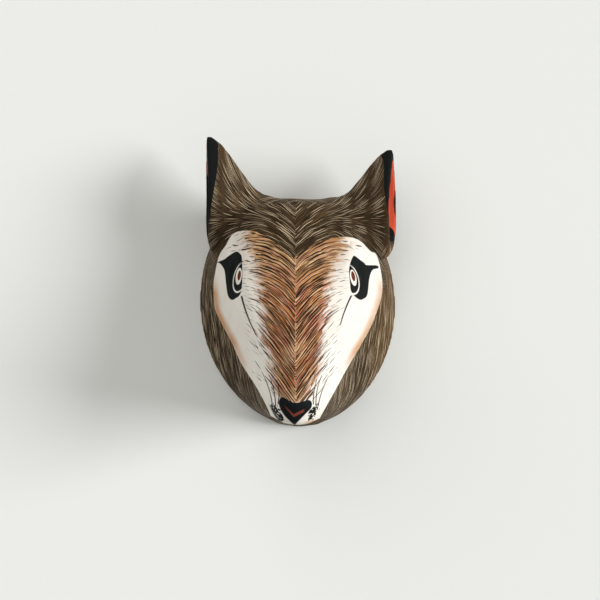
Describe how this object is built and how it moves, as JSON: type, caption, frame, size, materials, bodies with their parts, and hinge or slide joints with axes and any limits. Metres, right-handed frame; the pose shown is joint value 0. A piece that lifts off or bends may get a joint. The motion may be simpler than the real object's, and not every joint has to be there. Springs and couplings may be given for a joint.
{
  "type": "carved animal mask",
  "caption": "Carved wooden wall mask of an anteater's head, with upright pointed ears, a long tapering snout, a scooped-out back and a notch that takes a nail.",
  "frame": {"origin": "on the plane of the flat back, under the middle of the mask's box", "axes": "+X to the viewer's right, +Y from chin to crown, +Z from the flat back to the nose; the mask lies on its back"},
  "size_m": [0.196, 0.2826, 0.1608],
  "materials": {
    "painted_wood": "hand painted, satin"
  },
  "bodies": {
    "root": {"mask": "painted_wood"}
  },
  "joints": []
}
